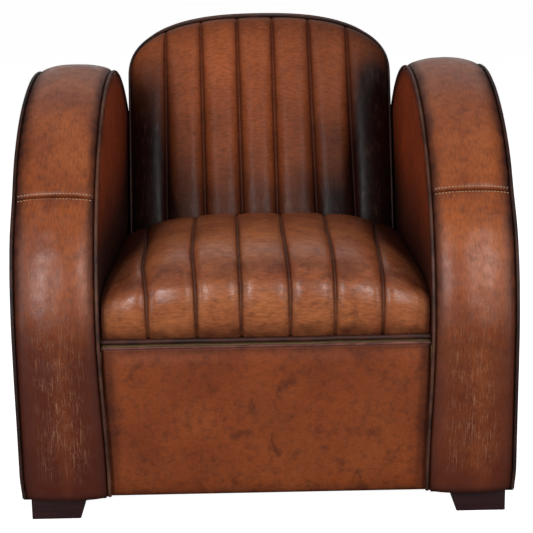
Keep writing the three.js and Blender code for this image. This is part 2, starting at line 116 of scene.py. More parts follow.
world = bpy.data.worlds.new("white_room")
bpy.context.scene.world = world
world.use_nodes = True
sky = world.node_tree.nodes["Background"].inputs
sky["Color"].default_value = (1, 1, 1, 1)
sky["Strength"].default_value = 0.06
bpy.context.scene.view_settings.view_transform = "Standard"


def shaped(name, shape):
    """An object with the finished bmesh as its mesh, shaded smooth."""
    for face in shape.faces:
        face.smooth = True
    data = bpy.data.meshes.new(name)
    shape.to_mesh(data)
    shape.free()
    return put(name, data)


paper_roll = bmesh.new()
bmesh.ops.create_grid(paper_roll, x_segments=2, y_segments=2, size=40)
floor = shaped("studio_floor", paper_roll)
floor.visible_diffuse = floor.visible_glossy = False
print("lights", len(bpy.data.lights))

# %% [markdown]
# ## Small helpers for materials
#
# Dye colours are chosen on a screen as sRGB hex values, but the shader wants linear light, so one function
# turns the first into the second. Another adds a node, sets it and links it, which keeps each material below
# readable as a list of what it is made of. A third starts a material that has no nodes yet.

# %% Material helpers
def dye(code):
    """A hex colour such as "8a4a2a" as linear red, green, blue and alpha."""
    channels = [int(code[i : i + 2], 16) / 255 for i in (0, 2, 4)]
    return (*(c / 12.92 if c <= 0.04045 else ((c + 0.055) / 1.055) ** 2.4 for c in channels), 1.0)


def add(tree, kind, inputs=(), **settings):
    """Adds a node. inputs maps a socket to a value, an output, or a node, which stands for its output."""
    made = tree.nodes.new("ShaderNode" + kind)
    for name, value in settings.items():
        setattr(made, name, value)
    for key, value in dict(inputs).items():
        if isinstance(value, bpy.types.Node):
            value = next(output for output in value.outputs if output.enabled)
        if isinstance(value, bpy.types.NodeSocket):
            tree.links.new(value, made.inputs[key])
        else:
            made.inputs[key].default_value = value
    return made


def new_material(name):
    """A material with nothing in it but its output."""
    material = bpy.data.materials.new(name)
    material.use_nodes = True
    material.node_tree.nodes.clear()
    return material, material.node_tree


# %% [markdown]
# ## The floor's finish
#
# Studio paper is matt and almost white. It glows a little by itself, as paper lit from behind does, so that
# it is evenly pale and only a soft shadow stays under the chair.

# %% Floor material
paper, tree = new_material("matt_studio_paper")
shader = add(tree, "BsdfPrincipled", {
    "Base Color": dye("fafafa"), "Roughness": 0.9, "Emission Color": (1, 1, 1, 1), "Emission Strength": 0.93})
add(tree, "OutputMaterial", {"Surface": shader})
floor.data.materials.append(paper)

# %% [markdown]
# ## Plain finishes
#
# Wood, foam, thread and cloth need less: two colours that follow one pattern, and a bump from that pattern.
# What tells them apart is their roughness and how the pattern is stretched, as grain is along a board.

# %% Finishes of two colours
def plain_finish(name, low, high, scale, roughness, metallic=0.0, detail=4, bump=0.3, depth=0.0004):
    """A finish between two colours, on a pattern whose scale is per metre along X, Y and Z."""
    material, tree = new_material(name)
    place = add(tree, "TexCoord").outputs["Object"]
    space = add(tree, "Mapping", {"Vector": place, "Scale": scale})
    pattern = add(tree, "TexNoise", {"Vector": space, "Scale": 1.0, "Detail": detail})
    colour = add(tree, "Mix", {0: pattern, 6: dye(low), 7: dye(high)}, data_type="RGBA")
    shader = add(tree, "BsdfPrincipled", {"Base Color": colour, "Roughness": roughness, "Metallic": metallic})
    if bump:
        relief = add(tree, "Bump", {"Height": pattern, "Strength": bump, "Distance": depth})
        tree.links.new(relief.outputs[0], shader.inputs["Normal"])
    add(tree, "OutputMaterial", {"Surface": shader})
    return material


# %% [markdown]
# ## Aniline hide
#
# The chair's hide is dyed through and only thinly finished, so it shows every use: it is burnished dark
# beside the seams, mottled where the dye was rubbed in by hand, cracked into fine light lines where it
# flexes, and smoother where arms and legs have polished it. Shade is painted into it as well. Each cover
# carries three painted amounts from 0 to 1 at each point of its mesh: one for the dark edges, which on the
# seat and back also paints shade in the seams' valleys, by the arms and under the seat's rolled edge; one
# for grime, which also paints shade inside the chair, low on the back and at the seat's sides; and "wear"
# for cracks. A stitched one has a fourth, "seam", for its valleys, whose bottoms are painted dark as shade.
# The material reads them, so that one recipe serves every cover. Pores on a hide are under a millimetre
# apart, too fine to show from 2.6 m, so the grain is drawn about 2 mm wide.

# %% Hide material
# How many of each pattern's marks lie in a metre.
PORE = 1 / 0.0021
CRACK = 1 / 0.0050  # the plates between cracks are 5 mm wide
SMEAR = 1 / 0.11  # clouds of dye as wide as a hand
BLOT, PATCH = 24, 38  # grime 4 cm wide, and worn patches 2.5 cm wide
RAGGED, MOTTLE, WARP = 45, 62, 90  # a burnished edge's wander, finger marks, and a crack's wander


def aniline_hide(name, light="ae5c2c", mid="8e4420", deep="562317", spots=0.5, gloss=0.33, ior=1.47,
                 creases=0.6, grain=(360.0, 110.0)):
    """Hide of three dyes, the deepest also serving as painted shade. spots and creases are how strongly grime
    and creases show, grain is how many creases a metre holds across and along, gloss is its roughness, and a
    low ior mirrors less."""
    # The seam colour darkens burnished edges and is also the painted shade in valleys and other shaded
    # places.
    seam = dye("38140b")
    material, tree = new_material(name)
    place = add(tree, "TexCoord").outputs["Object"]
    along = add(tree, "UVMap", uv_map="hide")
    burnish_and_shade, grime_and_shade, wear, valley = (add(tree, "Attribute", attribute_name=mark).outputs["Fac"]
                                     for mark in ("burnish_and_shade", "grime_and_shade", "wear", "seam"))

    # Hand-rubbed dye: slow clouds, then finger-sized mottles, then spots of grime.
    clouds = add(tree, "TexNoise", {"Vector": place, "Scale": SMEAR, "Detail": 5, "Roughness": 0.62})
    tone = add(tree, "MapRange", {0: clouds, 1: 0.36, 2: 0.66})
    base = add(tree, "Mix", {0: tone, 6: dye(mid), 7: dye(light)}, data_type="RGBA")
    mottle = add(tree, "TexNoise", {"Vector": place, "Scale": MOTTLE, "Detail": 6, "Roughness": 0.7})
    blots = add(tree, "TexNoise", {"Vector": place, "Scale": BLOT, "Detail": 3, "Distortion": 0.6})
    for pattern, least, most in ((mottle, 0.49, 0.72), (blots, 0.60, 0.74)):
        grime = add(tree, "MapRange", {0: pattern, 1: least, 2: most})
        share = add(tree, "Math", {0: grime, 1: spots}, operation="MULTIPLY")
        base = add(tree, "Mix", {0: share, 6: base, 7: dye(deep)}, data_type="RGBA")

    # Fine creases, a few millimetres apart, darken and lighten the dye in turn.
    crease_space = add(tree, "Mapping", {"Vector": along, "Scale": (*grain, 1.0)})
    crease = add(tree, "TexVoronoi", {"Vector": crease_space, "Scale": 1.0}, feature="SMOOTH_F1")
    fold = add(tree, "MapRange", {0: crease, 1: 0.2, 2: 0.75, 3: 1.24, 4: 0.68})
    base = add(tree, "Mix", {0: creases, 6: base, 7: fold}, data_type="RGBA", blend_type="MULTIPLY")

    # Grime darkens the low and handled parts; the same amount is painted shade inside the chair.
    base = add(tree, "Mix", {0: grime_and_shade, 6: base, 7: dye(deep)}, data_type="RGBA")

    # Cracks run along the hide's stretch, so their plates are drawn longer that way. Scratches from use are
    # straight, so they are streaks of noise that are drawn out twenty times. Both show as pale, bare hide.
    stretched = add(tree, "Mapping", {"Vector": along, "Scale": (1.0, 0.26, 1.0)})
    bent = add(tree, "TexNoise", {"Vector": stretched, "Scale": WARP, "Detail": 3})
    warp = add(tree, "Mix", {0: 0.006, 4: stretched, 5: bent.outputs[1]}, data_type="VECTOR")
    cells = add(tree, "TexVoronoi", {"Vector": warp, "Scale": CRACK}, feature="DISTANCE_TO_EDGE")
    line = add(tree, "MapRange", {0: cells, 1: 0.09, 2: 0.01, 4: 0.42})
    patchy = add(tree, "TexNoise", {"Vector": along, "Scale": PATCH, "Detail": 3})
    patch = add(tree, "MapRange", {0: patchy, 1: 0.34, 2: 0.62})
    worn = add(tree, "Math", {0: patch, 1: wear}, operation="MULTIPLY")
    scuff_space = add(tree, "Mapping", {"Vector": along, "Scale": (480.0, 24.0, 1.0)})
    scuff = add(tree, "TexNoise", {"Vector": scuff_space, "Scale": 1.0, "Detail": 3})
    scuff_line = add(tree, "MapRange", {0: scuff, 1: 0.55, 2: 0.64})
    bare = add(tree, "Math", {0: line, 1: scuff_line}, operation="MAXIMUM")
    rubbed = add(tree, "Math", {0: bare, 1: worn}, operation="MULTIPLY")
    pale = add(tree, "Math", {0: rubbed, 1: 0.6}, operation="MULTIPLY")
    base = add(tree, "Mix", {0: pale, 6: base, 7: dye("b07c5e")}, data_type="RGBA")

    # The burnished dark beside seams and piping has a ragged inner limit; on the seat and back it is also
    # painted shade.
    ragged = add(tree, "TexNoise", {"Vector": place, "Scale": RAGGED, "Detail": 4})
    uneven = add(tree, "MapRange", {0: ragged, 1: 0.3, 2: 0.7, 3: 0.75, 4: 1.2})
    edge = add(tree, "Math", {0: burnish_and_shade, 1: uneven}, operation="MULTIPLY", use_clamp=True)
    base = add(tree, "Mix", {0: edge, 6: base, 7: seam}, data_type="RGBA")

    # The bottom of a stitched valley is never polished, and is painted dark as shade in the recess.
    painted_valley_shade = add(tree, "Math", {0: valley, 1: 0.25}, operation="MULTIPLY")
    base = add(tree, "Mix", {0: painted_valley_shade, 6: base, 7: seam}, data_type="RGBA")

    # Grain: pores everywhere, streaks along the stretch, and the cracks' own hollows.
    pores = add(tree, "TexVoronoi", {"Vector": place, "Scale": PORE})
    streaked = add(tree, "Mapping", {"Vector": along, "Scale": (330.0, 60.0, 1.0)})
    streaks = add(tree, "TexNoise", {"Vector": streaked, "Scale": 1.0, "Detail": 3})
    relief = add(tree, "Math", {0: pores, 1: streaks}, operation="ADD")
    hollow = add(tree, "Math", {0: line, 1: wear}, operation="MULTIPLY")
    surface = add(tree, "Math", {0: relief, 1: hollow}, operation="SUBTRACT")
    bump = add(tree, "Bump", {"Height": surface, "Strength": 0.14, "Distance": 0.0009})

    polish = add(tree, "MapRange", {0: mottle, 1: 0.3, 2: 0.7, 3: gloss - 0.06, 4: gloss + 0.10})
    dull = add(tree, "Math", {0: valley, 1: burnish_and_shade}, operation="MAXIMUM")
    roughness = add(tree, "Mix", {0: dull, 2: polish, 3: 0.6}, data_type="FLOAT")
    shader = add(tree, "BsdfPrincipled", {
        "Base Color": base, "Roughness": roughness, "Normal": bump, "IOR": ior})
    add(tree, "OutputMaterial", {"Surface": shader})
    return material


arm_hide = aniline_hide("worn_aniline_hide_arms")
seat_hide = aniline_hide("worn_aniline_hide_seat", "c97848", "aa5d3a", "4c1e10", gloss=0.28,
                         creases=0.8, grain=(120.0, 400.0))
# The back's nearly black deepest dye is the colour of the painted shade low down and at its sides.
back_hide = aniline_hide("worn_aniline_hide_back", "b65f33", "9a4f2c", "1e0908", spots=0.15, gloss=0.36,
                         ior=1.32, creases=0.7, grain=(140.0, 360.0))
panel_hide = aniline_hide("worn_aniline_hide_panel", "9c4e24", "8c401c", "4a1e10", spots=0.6, gloss=0.5,
                          ior=1.36, creases=0.4, grain=(190.0, 330.0))
# The inside covers' own copy of the hide, darker in its deepest dye: the painted shade inside the arms.
inside_hide_painted_shade = aniline_hide("worn_aniline_hide_inside_painted_shade", "ac481e", "923b18", "2c0f08", spots=0.3, gloss=0.5,
                           ior=1.34)
print("hides", [m.name for m in (arm_hide, seat_hide, back_hide, panel_hide, inside_hide_painted_shade)])

# %% [markdown]
# ## Piping
#
# Piping is a strip of the darkest hide wrapped round a cord and caught in the seam. It stands proud of the
# covers, so its crest is the first thing to be rubbed, and the dye goes pale and grey there.

# %% Piping material
def piping_hide(name, crest, root):
    """Piping hide, rubbed from its root colour to its crest colour in patches of about 5 cm."""
    material, tree = new_material(name)
    place = add(tree, "TexCoord").outputs["Object"]
    rubbed = add(tree, "TexNoise", {"Vector": place, "Scale": 18, "Detail": 5, "Roughness": 0.7})
    share = add(tree, "MapRange", {0: rubbed, 1: 0.38, 2: 0.68})
    colour = add(tree, "Mix", {0: share, 6: dye(root), 7: dye(crest)}, data_type="RGBA")
    fine = add(tree, "TexNoise", {"Vector": place, "Scale": 420, "Detail": 2})
    bump = add(tree, "Bump", {"Height": fine, "Strength": 0.25, "Distance": 0.0006})
    shader = add(tree, "BsdfPrincipled", {
        "Base Color": colour, "Roughness": 0.55, "Normal": bump, "IOR": 1.45})
    add(tree, "OutputMaterial", {"Surface": shader})
    return material


outer_piping = piping_hide("dark_piping_hide", "4a2418", "1c0d08")
inner_piping = piping_hide("rubbed_piping_hide", "6e4432", "34180f")
seat_piping = piping_hide("seat_piping_hide", "55291a", "301610")
# The front panel's piping is dyed paler than the rest, a painted highlight along its cord as well as rubbed
# dye.
panel_piping = piping_hide("panel_piping_hide_painted_highlight", "90594c", "5a2f28")

# %% [markdown]
# ## A sheet of hide that is fitted to a form
#
# A cover starts flat, as a rectangle of hide on the bench, and is pulled over its form. The mesh does the
# same: an even grid is made once, then each point is carried to its place on the form. The grid's flat
# coordinates are kept as the UV map, in metres, so that cracks and streaks follow the hide and not the room.

# %% Sheets of hide
THICKNESS = 0.003  # hide and the wadding glued to it


def smooth(value, low, high):
    """0 below low, 1 above high, and an eased step between them."""
    t = min(max((value - low) / (high - low), 0.0), 1.0)
    return t * t * (3 - 2 * t)


def ripple(x, y, z, size):
    """Smooth noise from about -1 to 1, whose bumps are the given size in metres."""
    return noise.noise(Vector((x, y, z)) / size)


def sheet_of_hide(name, columns, rows, across, along, place, marks):
    """A grid of hide, across by along metres when flat. place(u, v) gives a point of it on the form, and
    marks(u, v) its dark edges, grime and wear, where the first two also carry painted shade. u and v run from
    0 to 1."""
    flat = bmesh.new()
    uv_map = flat.loops.layers.uv.new("hide")
    painted = [flat.verts.layers.float.new(mark) for mark in ("burnish_and_shade", "grime_and_shade", "wear")]
    bmesh.ops.create_grid(flat, x_segments=columns, y_segments=rows, size=0.5)
    for face in flat.faces:
        for corner in face.loops:
            corner[uv_map].uv = ((corner.vert.co.x + 0.5) * across, (corner.vert.co.y + 0.5) * along)
    for vert in flat.verts:
        u, v = vert.co.x + 0.5, vert.co.y + 0.5
        for layer, amount in zip(painted, marks(u, v)):
            vert[layer] = min(max(amount, 0.0), 1.0)
        vert.co = place(u, v)
    return shaped(name, flat)


def finish_piece(piece, material, slot, *replaced):
    """The material, and the lines that tie a piece to the frame."""
    piece.data.materials.append(material)
    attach(piece, "root")
    if replaced:
        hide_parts(*replaced)


def finish_cover(sheet, material, fill, *replaced, thickness=THICKNESS):
    """A padded cover: the hide's thickness, on the side that lies against the padding, and its finish."""
    wall = sheet.modifiers.new("hide_thickness", "SOLIDIFY")
    wall.thickness = thickness
    wall.offset = -1
    finish_piece(sheet, material, "hide", *replaced)


# %% [markdown]
# ## The arms' arch
#
# Seen from the side an arm is a straight leg, half a circle and a straight leg. Every piece of the arm is
# placed by two numbers: how far along that line, as with a tape measure, and how far out from it. The frame's
# own boxes give the line, because the piping runs exactly on it.

# %% Where things are on an arm
welt_low, welt_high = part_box("left_arm_inner_welt")
OUTER_X = -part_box("left_arm_outer_cover")[0].x
INNER_X = -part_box("left_arm_inner_cover")[1].x
ARM_X = (OUTER_X + INNER_X) / 2
ARM_HALF = (OUTER_X - INNER_X) / 2
ARCH_RADIUS = (welt_high.y - welt_low.y) / 2
ARCH_Z = welt_high.z - ARCH_RADIUS
UNDERSIDE = welt_low.z
LEG = ARCH_Z - UNDERSIDE
ARCH_LENGTH = pi * ARCH_RADIUS
BAND_LENGTH = ARCH_LENGTH + 2 * LEG
SEAM_AT = LEG + ARCH_LENGTH * 5 / 26
SIDES = (("left", -1), ("right", 1))
CORD = 0.004  # the frame's piping radius
THIN_CORD = 0.0031  # the finer cord that shows between the covers
SLUMP = 0.009  # how far the padding creeps inwards at the floor
print("arch", round(ARCH_RADIUS, 4), round(ARCH_Z, 4), "band", round(BAND_LENGTH, 3))


def on_arch(distance, height):
    """The (y, z) of a point on an arm, at a distance along its line and a height out from it."""
    angle = min(max((distance - LEG) / ARCH_RADIUS, 0.0), pi)
    below = max(LEG - distance, distance - LEG - ARCH_LENGTH, 0.0)
    radius = ARCH_RADIUS + height
    return -radius * cos(angle), ARCH_Z + radius * sin(angle) - below


def bell(distance, width):
    """1 at no distance, falling to about a third at the width and to nothing at twice that."""
    return exp(-((distance / width) ** 2))


def from_floor(distance):
    """From a point of the arch's line to the line's nearer end."""
    return min(distance, BAND_LENGTH - distance)


def to_cross_seam(distance):
    """From a point of the arch's line to the nearer seam across the band."""
    return min(abs(distance - SEAM_AT), abs(BAND_LENGTH - distance - SEAM_AT))


def arm_lean(distance):
    """How far an arm's inner edge has crept inwards: the padding has slumped near the floor."""
    return SLUMP * (1 - smooth(from_floor(distance), 0.0, 0.30))


def outer_wave(side, distance):
    """The outer edge's slow wander, its pinch at the cross seams, and its tuck at the floor."""
    tucked = 0.003 * (1 - smooth(max(from_floor(distance), 0.0), 0.0, 0.05)) ** 1.5
    pinch = 0.0014 * bell(to_cross_seam(distance), 0.05)
    return 0.0009 * ripple(side * 3.1, distance, 0.4, 0.16) - pinch - tucked


# %% [markdown]
# ## The arm bands
#
# The band over an arm is sewn from three lengths. It swells between its piping because the foam under it
# does, it is pulled down where it meets the cords, and each cross seam pinches it. At the floor it is folded
# under the frame and stapled there.

# %% Arm bands
CROWN = 0.013  # how high the band stands in its middle
PULL = 0.0042  # how far the piping's seams pull it down
BAND_HALF = ARM_HALF - CORD - THIN_CORD + 0.0004
FOLD = 0.007  # the radius of its turn under the frame
TURNED_UNDER = 0.02  # the length of hide past that turn's start
BAND_COLUMNS = 34


def crown(out, to_seam):
    """The band's height at a share of its half width, and a distance from a cross seam."""
    swell = CROWN * (1 - abs(out) ** 2.5) * (1 - 0.22 * bell(to_seam, 0.009))
    return swell - PULL * smooth(abs(out), 0.86, 1.0)


def band(name, side, start, end, rows):
    """A length of band. side is -1 for the left arm, and start and end are distances along the arch."""

    def spot(u, v):
        distance = start + (end - start) * v
        out = side * (2 * u - 1)  # -1 at the inner edge, 1 at the outer one
        return distance, out

    def place(u, v):
        distance, out = spot(u, v)
        to_seam = to_cross_seam(distance)
        swell = crown(out, to_seam)
        swell -= 0.0016 * bell(to_seam, 0.0022)
        middle = 1 - abs(out) ** 3
        swell += middle * 0.0016 * ripple(side * 1.7 + out * 0.05, distance, 0.3, 0.07)
        swell += middle * 0.0006 * ripple(side * 4.1 + out * 0.07, distance, 0.9, 0.022)
        x = out * BAND_HALF
        x += outer_wave(side, distance) * smooth(out, 0.2, 1.0) - arm_lean(distance) * smooth(-out, -0.6, 1.0)
        from_end = from_floor(distance)
        shown = min(max(distance, 0.0), BAND_LENGTH)
        if from_end < FOLD:
            turned = (FOLD - from_end) / FOLD
            turn = min(turned, 1.0) * pi / 2
            swell -= FOLD * (1 - cos(turn)) + FOLD * max(turned - 1, 0)
            shown = FOLD * (1 - sin(turn))
            shown = shown if distance < BAND_LENGTH / 2 else BAND_LENGTH - shown
        y, z = on_arch(shown, swell)
        return Vector((side * (ARM_X + x), y, z))

    def marks(u, v):
        distance, out = spot(u, v)
        from_end = from_floor(distance)
        wander = 0.06 * ripple(side * 2.2, distance, 0.7, 0.05)
        high = 0.45 + 0.55 * smooth(from_end, 0.22, 0.42)
        burnish_and_shade = 0.94 * high * smooth(abs(out) + wander, 0.54 if out > 0 else 0.68, 1.0) ** 1.15
        burnish_and_shade = max(burnish_and_shade, 0.8 * smooth(abs(out) + 0.4 * wander, 0.92, 1.0))
        burnish_and_shade = max(burnish_and_shade, 0.35 * bell(to_cross_seam(distance), 0.003))
        burnish_and_shade = max(burnish_and_shade, 0.8 * (1 - smooth(from_end, 0.0, 0.022)))
        low = 1 - smooth(from_end + 0.03 * ripple(out, distance, 6.0, 0.06), 0.24, 0.38)
        rubbed = 0.22 * low * bell(out * side - 0.12 + 3 * wander, 0.2)
        grime_and_shade = (0.92 if side < 0 else 0.68) * low + 0.2 * (1 - smooth(from_end, 0.0, 0.12)) - rubbed
        cracks = low * (1 - smooth(abs(out + 0.05), 0.35, 0.8)) * smooth(from_end, 0.02, 0.07)
        cracks = max(cracks, 0.25 * smooth(from_end, 0.40, 0.5) * (1 - smooth(abs(out), 0.6, 0.9)))
        return burnish_and_shade, grime_and_shade, cracks

    return sheet_of_hide(name, BAND_COLUMNS, rows, 2 * BAND_HALF, end - start, place, marks)


for label, side in SIDES:
    lengths = (
        ("front", -TURNED_UNDER, SEAM_AT, 118, ("front_band",)),
        ("top", SEAM_AT, BAND_LENGTH - SEAM_AT, 170, ("top_band", "foam_wrap")),
        ("rear", BAND_LENGTH - SEAM_AT, BAND_LENGTH + TURNED_UNDER, 118, ("rear_band",)),
    )
    for part, start, end, rows, replaced in lengths:
        piece = band(f"hide_{label}_arm_{part}", side, start, end, rows)
        finish_cover(piece, arm_hide, 0.9, *(f"{label}_arm_{node}" for node in replaced))
print("band width mm", round(2000 * BAND_HALF))

# %% [markdown]
# ## The arms' side covers
#
# Each side of an arm is one flat sheet of hide over a board, cut to the arch and sewn to the piping. A thin
# layer of wadding keeps it from looking like painted wood: it is very slightly full, and it puckers a little
# towards its edge.

# %% Arm side covers
COVER_RADIUS = ARCH_RADIUS - 2 * CORD + 0.0005
BOARD_IN = 0.0028  # the board's face lies this far inside the solid cover's
THIN_WALL = 0.0002


def side_cover(name, side, facing, base_x):
    """A cover in the plane x = base_x. facing is 1 if it looks towards +X."""

    def spot(u, v):
        y = -facing * COVER_RADIUS * cos(pi * u)
        top = ARCH_Z + sqrt(max(COVER_RADIUS**2 - y**2, 0.0))
        return y, UNDERSIDE + 0.0006 + v * (top - UNDERSIDE - 0.0006)

    def edge_distance(y, z):
        above = hypot(y, z - ARCH_Z) if z > ARCH_Z else abs(y)
        return COVER_RADIUS - above

    def place(u, v):
        y, z = spot(u, v)
        inside = smooth(edge_distance(y, z), 0.0, 0.03)
        full = 0.0012 * inside + 0.0011 * inside * (1 + ripple(y, z, side + facing, 0.12))
        full *= smooth(z - UNDERSIDE, 0.0, 0.03)
        if facing != side:  # the inner cover follows the band's slumped edge in front of the panel
            distance = z - UNDERSIDE if z < ARCH_Z else LEG
            full += arm_lean(distance) * (1 - smooth(edge_distance(y, z), 0.001, 0.0065))
        return Vector((base_x + facing * full, y, z))

    def marks(u, v):
        y, z = spot(u, v)
        near = 1 - smooth(edge_distance(y, z) + 0.006 * ripple(y, z, 5.0, 0.05), 0.0, 0.028)
        burnish_and_shade = 0.8 * near + 0.5 * (1 - smooth(z - UNDERSIDE, 0.0, 0.03))
        grime = 0.25 + 0.2 * ripple(y, z, 8.0, 0.2)
        if facing != side:  # painted shade: darker low down and towards the back, where the seat, back and arm shade the inside
            grime = 0.22 if side < 0 else 0.05
            grime += 0.85 * (1 - smooth(z, 0.42, 0.62)) + 0.4 * smooth(y, 0.0, 0.3)
        return burnish_and_shade, grime, 0.12

    return sheet_of_hide(name, 110, 70, 2 * COVER_RADIUS, ARCH_Z + COVER_RADIUS, place, marks)


for label, side in SIDES:
    outer = side_cover(f"hide_{label}_arm_outside", side, side, side * (OUTER_X - BOARD_IN))
    finish_cover(outer, panel_hide, 1.0, f"{label}_arm_outer_cover", thickness=THIN_WALL)
    inner = side_cover(f"hide_{label}_arm_inside", side, -side, side * (INNER_X + BOARD_IN))
    finish_cover(inner, inside_hide_painted_shade, 1.0, f"{label}_arm_inner_cover", thickness=THIN_WALL)

# %% [markdown]
# ## Piping round the arms
#
# A curve with a round bevel is the natural way to make a cord: the curve is the line of the seam, and the
# bevel is the cord's thickness. It is turned into a mesh at the end, so that its place is in its points.

# %% Cords
def evaluated(piece):
    """The piece as its modifiers or its bevel leave it."""
    return piece.evaluated_get(bpy.context.evaluated_depsgraph_get())


def piping(name, points, material, replaced, radius=THIN_CORD):
    """A round cord through the points, closed at both ends."""
    path = bpy.data.curves.new(name, "CURVE")
    path.dimensions = "3D"
    path.bevel_depth = radius
    path.bevel_resolution = 3
    path.use_fill_caps = True
    path.resolution_u = 2
    line = path.splines.new("NURBS")
    line.order_u = 3
    line.use_endpoint_u = True
    line.points.add(len(points) - 1)
    for point, place in zip(line.points, points):
        point.co = (*place, 1)
    bent = put(name + "_path", path)
    data = bpy.data.meshes.new_from_object(evaluated(bent))
    bpy.data.objects.remove(bent)
    for face in data.polygons:
        face.use_smooth = True
    finish_piece(put(name, data), material, "welt", replaced)


ARM_STEPS = 190


def arm_line(side, inner):
    """Points down the middle of an arm's piping, which stops 3 mm short of the band's ends."""
    points = []
    for i in range(ARM_STEPS + 1):
        distance = 0.003 + (BAND_LENGTH - 0.006) * i / ARM_STEPS
        if inner:
            x = INNER_X + THIN_CORD - arm_lean(distance)
        else:
            x = OUTER_X - THIN_CORD + outer_wave(side, distance)
        wander = 0.0005 * ripple(side * 9.0 + inner, distance, 0.0, 0.04)
        y, z = on_arch(distance, -THIN_CORD + wander)
        points.append(Vector((side * x, y, z)))
    return points


for label, side in SIDES:
    piping(f"piping_{label}_arm_outer", arm_line(side, False), outer_piping, f"{label}_arm_outer_welt")
    piping(f"piping_{label}_arm_inner", arm_line(side, True), inner_piping, f"{label}_arm_inner_welt")

# %% [markdown]
# ## Topstitching
#
# Where two lengths of the band meet, the seam is opened flat and stitched down on both sides with a thick
# light thread. A stitch is a short capsule that dives into the hide at both ends, so a squashed, stretched
# sphere with few faces is enough, repeated a few millimetres apart.

# %% Stitches over the arms' cross seams
STITCH = 0.0042  # its length
STITCH_RADIUS = 0.0008
STITCH_GAP = 0.0054  # from one stitch to the next
ROW_OFFSET = 0.0048  # from the seam to each row
STITCHED_SHARE = 0.94  # of the band's width


def topstitching(name, side):
    """Two rows of stitches along each cross seam of an arm."""
    rows = bmesh.new()
    per_row = int(2 * BAND_HALF * STITCHED_SHARE / STITCH_GAP)
    for seam in (SEAM_AT, BAND_LENGTH - SEAM_AT):
        for offset in (-ROW_OFFSET, ROW_OFFSET):
            for i in range(per_row):
                out = -STITCHED_SHARE + 2 * STITCHED_SHARE * (i + 0.5) / per_row
                y, z = on_arch(seam + offset, crown(out, offset) + 0.0002)
                place = Matrix.Translation((side * (ARM_X + out * BAND_HALF), y, z))
                turn = Matrix.Rotation((seam + offset - LEG) / ARCH_RADIUS, 4, "X")
                size = Matrix.Diagonal((STITCH / 2, STITCH_RADIUS, STITCH_RADIUS, 1))
                bmesh.ops.create_uvsphere(rows, u_segments=6, v_segments=4, radius=1,
                                          matrix=place @ turn @ size)
    return shaped(name, rows)


thread = plain_finish("waxed_linen_thread", "a98560", "e0bd96", (900, 900, 900), 0.6, detail=2, bump=0)
for label, side in SIDES:
    finish_piece(topstitching(f"topstitching_{label}_arm", side), thread, "hide")

# %% [markdown]
# ## Cloth that is blown up between its stitches
#
# A stitched channel is a tube of wadding held down along two seams. The quickest honest way to its shape is
# the real one: the sheet is fixed along the seams and its borders, and air pushes the rest up until the hide
# is tight. Blender's cloth does that with its pressure setting. The hide has no slack, so it crowns between
# its seams without crumpling. How far a point may move is capped.

# %% Inflate a stitched sheet
HIDE_CLOTH = {"quality": 6, "mass": 0.4, "air_damping": 2, "tension_stiffness": 25, "shear_stiffness": 15,
              "compression_stiffness": 25, "bending_stiffness": 2.0, "vertex_group_mass": "stitched",
              "pin_stiffness": 1, "use_pressure": True, "uniform_pressure_force": 4}
FRAMES = 20


def inflate(piece, held, cap):
    """Blows the sheet up between the points whose numbers are in held, by no more than cap."""
    start = np.array([v.co for v in piece.data.vertices])
    group = piece.vertex_groups.new(name="stitched")
    group.add(held, 1.0, "REPLACE")
    cloth = piece.modifiers.new("hide_cloth", "CLOTH")
    for setting, value in HIDE_CLOTH.items():
        setattr(cloth.settings, setting, value)
    cloth.settings.effector_weights.gravity = 0
    cloth.collision_settings.use_collision = False
    cloth.point_cache.frame_start = 1
    cloth.point_cache.frame_end = FRAMES
    scene = bpy.context.scene
    for step in range(1, FRAMES + 1):
        scene.frame_set(step)
    moved = np.array([v.co for v in evaluated(piece).data.vertices]) - start
    length = np.linalg.norm(moved, axis=1, keepdims=True)
    moved *= np.minimum(1.0, cap / np.maximum(length, 1e-9))
    piece.modifiers.remove(cloth)
    piece.vertex_groups.remove(group)
    scene.frame_set(1)
    for vert, co in zip(piece.data.vertices, start + moved):
        vert.co = co
    print(piece.name, "moved mm: mean", round(float(np.linalg.norm(moved, axis=1).mean()) * 1000, 1),
          "most", round(float(length.max()) * 1000, 1))


def subdivide(piece):
    """One round of subdivision, applied, so that creases can be pressed into the finer mesh."""
    finer = piece.modifiers.new("finer", "SUBSURF")
    finer.levels = finer.render_levels = 1
    finer.boundary_smooth = "PRESERVE_CORNERS"
    data = bpy.data.meshes.new_from_object(evaluated(piece))
    piece.modifiers.remove(finer)
    piece.data = data


def press(piece, amount):
    """Moves each point along its normal by amount(place, near). near is 1 at a seam and 0 away from it."""
    seam = piece.data.attributes["seam"].data
    normals = [v.normal.copy() for v in piece.data.vertices]
    for vert, normal, near in zip(piece.data.vertices, normals, seam):
        vert.co += normal * amount(vert.co, near.value)


# %% [markdown]
# ## The seat
#
# The seat is one padded form, higher in the middle than beside the arms, with a rolled front edge. Six seams
# divide it into seven channels, which spread a little towards the back because the cover was pulled that way.
# The line below is its section down the middle, from the lower front edge over the crest to the back.

